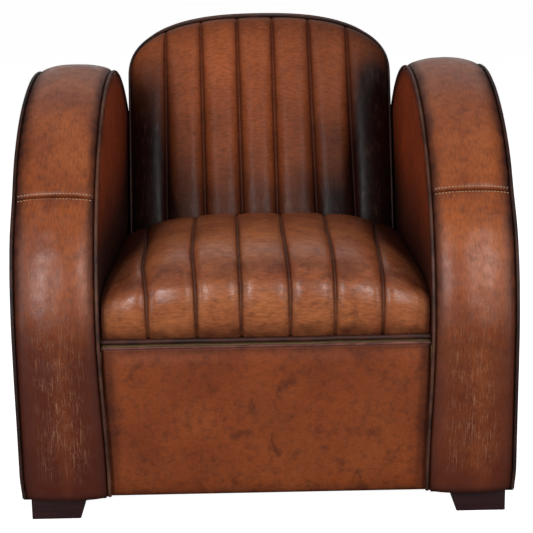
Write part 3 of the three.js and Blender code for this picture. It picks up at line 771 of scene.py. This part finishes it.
# %% Seat sections
SEAT_LINE = [  # (y, z) down the middle, then (y, z) of the same point beside the arms
    (-0.396, 0.316, -0.392, 0.316), (-0.404, 0.327, -0.398, 0.324), (-0.418, 0.352, -0.402, 0.342),
    (-0.421, 0.390, -0.403, 0.362), (-0.411, 0.426, -0.398, 0.381), (-0.381, 0.455, -0.380, 0.395),
    (-0.325, 0.470, -0.335, 0.402), (-0.240, 0.474, -0.240, 0.404), (-0.120, 0.467, -0.120, 0.403),
    (0.010, 0.452, 0.010, 0.401), (0.128, 0.436, 0.128, 0.395), (0.131, 0.415, 0.131, 0.380),
    (0.118, 0.385, 0.118, 0.365),
]
SEAT_HALF = INNER_X - 0.0012
SEAT_STEPS = 400
SEAT_SEAMS = [  # share of the way along that line, then x of each seam from left to right
    (0.00, (-0.200, -0.117, -0.041, 0.042, 0.118, 0.199)),
    (0.12, (-0.200, -0.117, -0.041, 0.042, 0.118, 0.199)),
    (0.24, (-0.209, -0.124, -0.0445, 0.037, 0.116, 0.198)),
    (0.45, (-0.214, -0.127, -0.047, 0.034, 0.115, 0.205)),
    (0.75, (-0.229, -0.133, -0.0505, 0.036, 0.123, 0.222)),
    (1.00, (-0.241, -0.139, -0.054, 0.038, 0.128, 0.236)),
]


def evenly(points, gaps, count):
    """count points evenly spaced along a line, and its length. gaps are the distances between its points."""
    steps = np.concatenate([[0.0], np.cumsum(gaps)])
    even = np.linspace(0, steps[-1], count)
    return np.column_stack([np.interp(even, steps, numbers) for numbers in zip(*points)]), steps[-1]


def line_through(points, count):
    """Evenly spaced points on a smooth curve (a Catmull-Rom spline) through the given ones."""
    knots = [Vector(point) for point in points]
    knots = [knots[0] * 2 - knots[1], *knots, knots[-1] * 2 - knots[-2]]
    fine = []
    for before, first, last, after in zip(knots, knots[1:], knots[2:], knots[3:]):
        for i in range(24):
            t = i / 24
            square = 2 * before - 5 * first + 4 * last - after
            cube = 3 * first - before - 3 * last + after
            fine.append(0.5 * ((2 * first) + (last - before) * t + square * t**2 + cube * t**3))
    fine.append(knots[-2])
    return evenly(fine, [(b - a).length for a, b in zip(fine, fine[1:])], count)


seat_line, SEAT_LENGTH = line_through(SEAT_LINE, SEAT_STEPS + 1)
print("seat hide mm", round(SEAT_LENGTH * 1000))


def seams_at(table, v, half):
    """The borders of the channels at v, from one side of the pad to the other."""
    for (v0, row0), (v1, row1) in zip(table, table[1:]):
        if v <= v1:
            share = (v - v0) / (v1 - v0)
            return [-half, *(a + (b - a) * share for a, b in zip(row0, row1)), half]
    return [-half, *table[-1][1], half]


def in_channel(u, borders):
    """x, the share across its channel, and the distance to the nearest of its seams."""
    channels = len(borders) - 1
    which = min(int(u * channels + 1e-6), channels - 1)
    even = u * channels - which
    share = 0.2 * even + 0.8 * (0.5 - 0.5 * cos(pi * even))  # closer columns beside the seams
    left, right = borders[which], borders[which + 1]
    x = left + (right - left) * share
    to_seam = min(x - left if which else 1.0, right - x if which < channels - 1 else 1.0)
    return x, share, to_seam


# %% [markdown]
# The grid is laid on that section, pulled down beside the arms, and sunk along the seams. Then it is blown
# up, subdivided, and each seam is pressed in as the thread would.

# %% Seat pad
SEAT_SINK = 0.0095  # how deep its seams lie at the front
SEAM_PRESS = 0.0018  # how much deeper the thread pulls them
COLUMNS = 7 * 16  # seven channels of sixteen columns
SEAT_ROWS = 108


def seat_spot(u, v):
    """x, the share across its channel, the distance to a seam, y and z, before the seams are sunk."""
    x, share, to_seam = in_channel(u, seams_at(SEAT_SEAMS, v, SEAT_HALF))
    row = seat_line[round(v * SEAT_STEPS)]
    low = (abs(x) / SEAT_HALF) ** 3.6
    y, z = row[:2] + (row[2:] - row[:2]) * low
    return x, share, to_seam, float(y), float(z)


def fluted(to_seam, roll):
    """0 at a seam and 1 from a roll's width away: a flat-topped channel with rounded shoulders."""
    return (1 - (1 - min(max(to_seam / roll, 0.0), 1.0)) ** 2) ** 0.55


def seat_place(u, v):
    """The seat's points, sunk at right angles to its section."""
    x, share, to_seam, y, z = seat_spot(u, v)
    row = round(v * SEAT_STEPS)
    ahead = seat_line[min(row + 1, SEAT_STEPS)][:2] - seat_line[max(row - 1, 0)][:2]
    ahead /= np.linalg.norm(ahead)
    depth = SEAT_SINK * (0.5 + 0.5 * smooth(v, 0.02, 0.12)) * (1 - 0.75 * smooth(v, 0.3, 0.85))
    sink = depth * (1 - fluted(to_seam, 0.019)) + 0.0025 * abs(2 * share - 1) ** 2
    return Vector((x, y + ahead[1] * sink, z - ahead[0] * sink))


def seat_marks(u, v):
    """Painted shade: darker beside the seams, at the sides by the arms, under the rolled front edge, on the
    front face and in a band where that edge rolls over, where the hide is also creased.
    """
    x, _, to_seam, *_ = seat_spot(u, v)
    side = abs(x) / SEAT_HALF
    # Painted shade in the seams' valleys, in the gaps by the arms and under the rolled front edge.
    burnish_and_shade = 0.4 * bell(to_seam, 0.0034) + 0.2 * bell(to_seam, 0.010)
    lower_edge = 1 - smooth(v + 0.02 * ripple(x, v, 2.0, 0.03), 0.012, 0.055)
    burnish_and_shade = max(burnish_and_shade, 0.6 * smooth(side, 0.94, 1.0), 0.6 * lower_edge)
    # Painted shade: outer channels darker where the arms shade them, a dark band on the front roll, and the
    # front face darker than the top.
    grime_and_shade = 0.7 * smooth(side, 0.6, 0.93) * smooth(v, 0.10, 0.25)
    grime_and_shade += 0.5 * smooth(side, 0.6, 0.9) * smooth(v, 0.3, 0.5)
    grime_and_shade += 0.42 * bell(v - 0.165, 0.032) * (0.75 + 0.9 * ripple(x, v, 5.0, 0.04))
    grime_and_shade += 0.22 * (1 - smooth(v, 0.19, 0.27))
    creased = smooth(v, 0.12, 0.2) * (1 - smooth(v, 0.26, 0.4))
    return burnish_and_shade, grime_and_shade, 0.15 + 0.35 * creased


def mark_seams(piece, spot, rows):
    """Paints how close each point is to a seam, and gives the points that the stitches and borders hold."""
    near = piece.data.attributes.new("seam", "FLOAT", "POINT")
    held = []
    for i in range(len(piece.data.vertices)):
        row, column = divmod(i, COLUMNS + 1)
        to_seam = spot(column / COLUMNS, row / rows)[2]
        near.data[i].value = bell(to_seam, 0.0024)
        if column in (0, COLUMNS) or row in (0, rows) or to_seam < 1e-4:
            held.append(i)
    return held


seat = sheet_of_hide("hide_seat", COLUMNS, SEAT_ROWS, 2 * SEAT_HALF, SEAT_LENGTH, seat_place, seat_marks)
inflate(seat, mark_seams(seat, seat_spot, SEAT_ROWS), cap=0.0030)
subdivide(seat)
press(seat, lambda at, near: 0.00035 * (1 - near) * ripple(at.x * 0.35, at.y, at.z, 0.009)
      - SEAM_PRESS * near)
finish_cover(seat, seat_hide, 0.9, "seat_cover", "seat_foam")

# %% [markdown]
# ## The back
#
# The back is a rounded panel that leans. Its face swells about 3 cm in front of its piping and curves in to
# it all round, and its six seams run up and over that curve. The sheet's columns follow the seams, and each
# column ends on the rounded outline, so the channels keep their width to the top.

# %% Back pad
LEAN = radians(17.8)
BACK_Y, BACK_Z = 0.170, 0.429  # where the piping's plane meets the seat
BACK_HALF = 0.275
BACK_TOP = 0.421  # measured up the lean from the seat, as BACK_LOW is
BACK_ARCH = 0.130  # the height of its rounded top
BACK_SIDE = BACK_TOP - BACK_ARCH
SQUARENESS = 2.45  # 2 would round the top to an ellipse
BULGE = 0.028
BACK_LOW = -0.055
BACK_CORD = 0.0026
BACK_INSET = 2 * BACK_CORD - 0.0005
BACK_ROWS = 84
BACK_SEAMS = [
    (0.0, (-0.196, -0.1165, -0.0395, 0.033, 0.1155, 0.195)),
    (1.0, (-0.195, -0.121, -0.0455, 0.028, 0.103, 0.183)),
]


def on_back(x, up, out):
    """A point of the leaning back: across, up the lean, and out towards the sitter."""
    along, ahead = cos(LEAN), sin(LEAN)
    return Vector((x, BACK_Y + up * ahead - out * along, BACK_Z + up * along + out * ahead))


def outline_top(x, inset):
    """Height up the lean of the rounded outline over x, drawn in by inset."""
    half, rise = BACK_HALF - inset, BACK_ARCH - inset
    inside = max(1 - (abs(x) / half) ** SQUARENESS, 0.0)
    return BACK_SIDE + rise * inside ** (1 / SQUARENESS)


def back_spot(u, v):
    """x, the share across its channel, the distance to a seam, and the height up the lean."""
    half = BACK_HALF - BACK_INSET
    x, share, to_seam = in_channel(u, seams_at(BACK_SEAMS, v, half))
    x = max(min(x, half), -half)
    top = outline_top(x, BACK_INSET)
    return x, share, to_seam, BACK_LOW + (top - BACK_LOW) * v


def edge_of_back(x, up):
    """Roughly how far a point is inside the outline."""
    side = BACK_HALF - BACK_INSET - abs(x)
    top = outline_top(x, BACK_INSET) - up
    return min(side, top) if min(side, top) <= 0 else 1 / (1 / side**2 + 1 / top**2) ** 0.5


def back_place(u, v):
    """The back's points, swollen in front of the piping and sunk along the seams."""
    x, share, to_seam, up = back_spot(u, v)
    inside = min(max(edge_of_back(x, up), 0.0) / 0.045, 1.0)
    swell = BULGE * (1 - (1 - inside) ** 2.4) ** (1 / 1.9)
    depth = 0.013 * smooth(inside, 0.0, 0.8) * (1 - 0.3 * smooth(up, 0.05, 0.38))
    sink = depth * (1 - fluted(to_seam, 0.016)) + 0.002 * abs(2 * share - 1) ** 2
    return on_back(x, up, swell - sink - 0.002)


def back_marks(u, v):
    """Painted shade beside the seams, at the sides where the arms shade the back, and low down where the seat
    and arms shade it; also darker towards the top and on the right.
    """
    x, _, to_seam, up = back_spot(u, v)
    # Painted shade in the seams' valleys.
    burnish_and_shade = 0.2 * bell(to_seam, 0.004) + 0.35 * bell(to_seam, 0.010)
    burnish_and_shade = max(burnish_and_shade, 0.5 * (1 - smooth(edge_of_back(x, up), 0.0, 0.014)))
    wander = 0.05 * ripple(x, up, 3.0, 0.08)
    side = abs(x) / BACK_HALF + wander
    # Painted shade at the sides and low down, where the arms and seat shade the back; the top and the right
    # half are darker too.
    grime_and_shade = (0.3 if x < 0 else 0.7) * smooth(side, 0.42, 0.9)
    grime_and_shade += 0.6 * smooth(side, 0.6, 0.8) * (1 - smooth(up, 0.22, 0.36))
    grime_and_shade = max(grime_and_shade, 0.25 * smooth(x, 0.02, 0.15))
    grime_and_shade += 0.38 * smooth(up, 0.33, 0.42)
    return burnish_and_shade, grime_and_shade + 0.75 * (1 - smooth(up + wander, -0.02, 0.24)), 0.2


BACK_LENGTH = BACK_TOP - BACK_LOW
back = sheet_of_hide("hide_back", COLUMNS, BACK_ROWS, 2 * BACK_HALF, BACK_LENGTH, back_place, back_marks)
inflate(back, mark_seams(back, back_spot, BACK_ROWS), cap=0.0025)
subdivide(back)
press(back, lambda at, near: 0.0003 * (1 - near) * ripple(at.x, at.y, at.z * 0.5, 0.012) - SEAM_PRESS * near)
finish_cover(back, back_hide, 0.8, "back_cover", "back_foam")

# %% [markdown]
# ## Round the back
#
# A strip called boxing runs up one side of the back, over its top and down the other, from the front piping
# to the outer back. The outer back is a plain sheet tacked to the frame. Neither has channels.

# %% Boxing, outer back and their piping
outer_low, outer_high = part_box("outer_back_cover")
BOXING_STEPS = 180


def rear_y(z):
    """Where the outer back stands at a height."""
    share = (z - outer_low.z) / (outer_high.z - outer_low.z)
    return outer_high.y - 0.0035 + (outer_low.y - outer_high.y + 0.003) * share


def outline_points(inset, low, count):
    """Points (x, up) of the back's outline, evenly spaced, from lower left over the top to lower right."""
    half, rise = BACK_HALF - inset, BACK_ARCH - inset
    power = 2 / SQUARENESS
    line = [(-half, low)]
    for i in range(91):
        across, rising = cos(pi * i / 90), sin(pi * i / 90)
        line.append((-half * copysign(abs(across) ** power, across), BACK_SIDE + rise * rising**power))
    line.append((half, low))
    return evenly(line, [dist(a, b) for a, b in zip(line, line[1:])], count)


boxing_line, BOXING_LENGTH = outline_points(0.0012, BACK_LOW, BOXING_STEPS + 1)


def boxing_place(u, v):
    """u runs round the back, and v from its front to its rear."""
    x, up = boxing_line[round(u * BOXING_STEPS)]
    z = BACK_Z + up * cos(LEAN)
    front = BACK_Y + up * sin(LEAN) + 0.001
    y = front + (rear_y(z) - front) * v
    middle = sin(pi * v)
    full = 0.0016 * middle * (1 + ripple(u * 3, v * 0.4, 2.0, 0.12)) - 0.0016
    centre = Vector((0, y, BACK_Z + 0.15))
    outward = (Vector((x, y, z)) - centre).normalized()
    return Vector((x, y, z)) + outward * full


def boxing_marks(u, v):
    edge = min(v, 1 - v)
    return 0.75 * (1 - smooth(edge, 0.0, 0.10)), 0.35, 0.12


boxing = sheet_of_hide("hide_back_boxing", BOXING_STEPS, 36, BOXING_LENGTH, 0.2, boxing_place, boxing_marks)
finish_cover(boxing, panel_hide, 1.0, "back_boxing")


def outer_back_place(u, v):
    half = BACK_HALF - 0.0008
    x = half * cos(pi * u)
    top = BACK_Z + outline_top(x, 0.0008) * cos(LEAN)
    low = outer_low.z + 0.0005
    z = low + (top - low) * v
    inside = smooth(min(half - abs(x), top - z), 0.0, 0.02)
    return Vector((x, rear_y(z) + 0.0024 * inside + 0.0008 * inside * ripple(x, z, 3.0, 0.15), z))


def outer_back_marks(u, v):
    x = BACK_HALF * cos(pi * u)
    top = BACK_Z + outline_top(x, 0.001) * cos(LEAN)
    edge = min(BACK_HALF - abs(x), (top - outer_low.z) * min(v, 1 - v))
    return 0.75 * (1 - smooth(edge, 0.0, 0.028)), 0.30, 0.12


outer_back = sheet_of_hide("hide_outer_back", 96, 84, 2 * BACK_HALF, outer_high.z,
                           outer_back_place, outer_back_marks)
finish_cover(outer_back, panel_hide, 1.0, "outer_back_cover", thickness=0.002)

back_line, _ = outline_points(BACK_CORD, BACK_LOW, 150)
piping("piping_back", [on_back(x, up, 0.0) for x, up in back_line], outer_piping, "back_welt", BACK_CORD)

# %% [markdown]
# ## The front panel
#
# Below the seat a sheet of hide covers the front board. It is almost flat, with the blotches of a hide dyed
# by hand, and darker towards its edges. A welt runs along its top, and another under the seat's edge.

# %% Front panel and its piping
panel_low, panel_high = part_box("front_panel_cover")
PANEL_HEIGHT = panel_high.z - panel_low.z
UNDER_WELT = 0.003  # how far it goes up behind the seat's welt


def front_place(u, v):
    x = (2 * u - 1) * (INNER_X - 0.0006)
    z = panel_low.z + 0.0003 + (PANEL_HEIGHT + UNDER_WELT) * v
    edge = min(INNER_X - abs(x), z - panel_low.z, panel_high.z + UNDER_WELT - z)
    inside = smooth(edge, 0.0, 0.03)
    full = 0.0015 + 0.0025 * inside + 0.0012 * inside * ripple(x, z, 1.0, 0.11)
    return Vector((x, panel_low.y + 0.0022 - full, z))


def front_marks(u, v):
    x = (2 * u - 1) * INNER_X
    z = PANEL_HEIGHT * v
    sides = 1 - smooth(INNER_X - abs(x) + 0.008 * ripple(x, z, 4.0, 0.06), 0.0, 0.034)
    ends = 1 - smooth(min(z, PANEL_HEIGHT - z) + 0.004 * ripple(x, z, 6.0, 0.05), 0.0, 0.018)
    return 0.72 * max(sides, 0.8 * ends), 0.12 + 0.2 * ripple(x, z, 9.0, 0.09), 0.10


front = sheet_of_hide("hide_front_panel", 110, 56, 2 * INNER_X, PANEL_HEIGHT, front_place, front_marks)
finish_cover(front, panel_hide, 1.0, "front_panel_cover", thickness=0.0015)


def straight_line(node):
    """Points along a straight cord of the frame, wandering by under 1 mm as a hand-sewn one does."""
    low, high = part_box(node)
    middle = (low + high) / 2
    count = 60
    return [Vector((low.x + (high.x - low.x) * i / count,
                    middle.y + 0.0008 * ripple(i * 0.02, middle.z, 0.0, 0.11),
                    middle.z + 0.0008 * ripple(i * 0.02, middle.z, 7.0, 0.13))) for i in range(count + 1)]


piping("piping_front_panel", straight_line("front_panel_welt"), panel_piping, "front_panel_welt", 0.0026)
piping("piping_seat", straight_line("seat_welt"), seat_piping, "seat_welt", 0.0046)

# %% [markdown]
# ## Feet
#
# The feet are blocks of hardwood, sawn with one sloping side and stained almost black. A sawn and sanded
# block has edges about 2 mm round, which catch a thin line of light.

# %% Feet
stained = plain_finish("espresso_stained_beech", "1f1216", "442628", (18, 260, 260), 0.38,
                       bump=0.15, depth=0.0006)
FOOT_SLOPE = 0.011
EDGE_RADIUS = 0.002


def foot(node):
    """A block the size of the frame's foot, with its inner side sloped and its edges rounded."""
    low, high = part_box(node)
    middle, size = (low + high) / 2, high - low
    wood = bmesh.new()
    bmesh.ops.create_cube(wood, size=1, matrix=Matrix.Translation(middle) @ Matrix.Diagonal((*size, 1)))
    inward = -copysign(1, middle.x)
    for vert in wood.verts:
        if vert.co.z < middle.z and (vert.co.x - middle.x) * inward > 0:
            vert.co.x -= inward * FOOT_SLOPE
    bmesh.ops.bevel(wood, geom=wood.edges[:], offset=EDGE_RADIUS, offset_type="OFFSET", affect="EDGES",
                    segments=3, profile=0.5, material=-1, clamp_overlap=True)
    finish_piece(shaped("block_" + node, wood), stained, "stained_wood", node)


for corner in ("front_left", "front_right", "rear_left", "rear_right"):
    foot(corner + "_foot")

# %% [markdown]
# ## What is under the covers
#
# The boards, rails, springs and foam are hidden, and the dust cover shows only from below. They are the
# frame's own solids, and each still gets the finish of its material, because the model can be opened up.

# %% Finishes for the hidden pieces
finishes = {
    "plywood": plain_finish("rotary_cut_birch_ply", "b48d5c", "d0ab78", (40, 6, 300), 0.7),
    "hardwood": plain_finish("sawn_beech", "8f6238", "b98553", (200, 10, 200), 0.65),
    "foam": plain_finish("open_cell_foam", "d8cc9c", "efe6c0", (700, 700, 700), 0.95, depth=0.001),
    "sackcloth": plain_finish("woven_hessian", "8a7148", "b89c6a", (500, 500, 500), 0.95, depth=0.0008),
    "spring_steel": plain_finish("drawn_spring_wire", "4c4f52", "74787c", (300, 300, 300), 0.35, metallic=1),
    "black_cloth": plain_finish("spun_dust_cloth", "0d0d0d", "232323", (900, 900, 900), 0.9),
    "stained_wood": stained,
    "hide": panel_hide,
    "welt": outer_piping,
}
slot_of = {part["node"]: part["material_slot"] for part in frame["record"]["subparts"]}
for node, solid in frame["nodes"].items():
    solid.data.materials.clear()
    solid.data.materials.append(finishes[slot_of[node]])
print("finished", len(slot_of), "frame nodes")
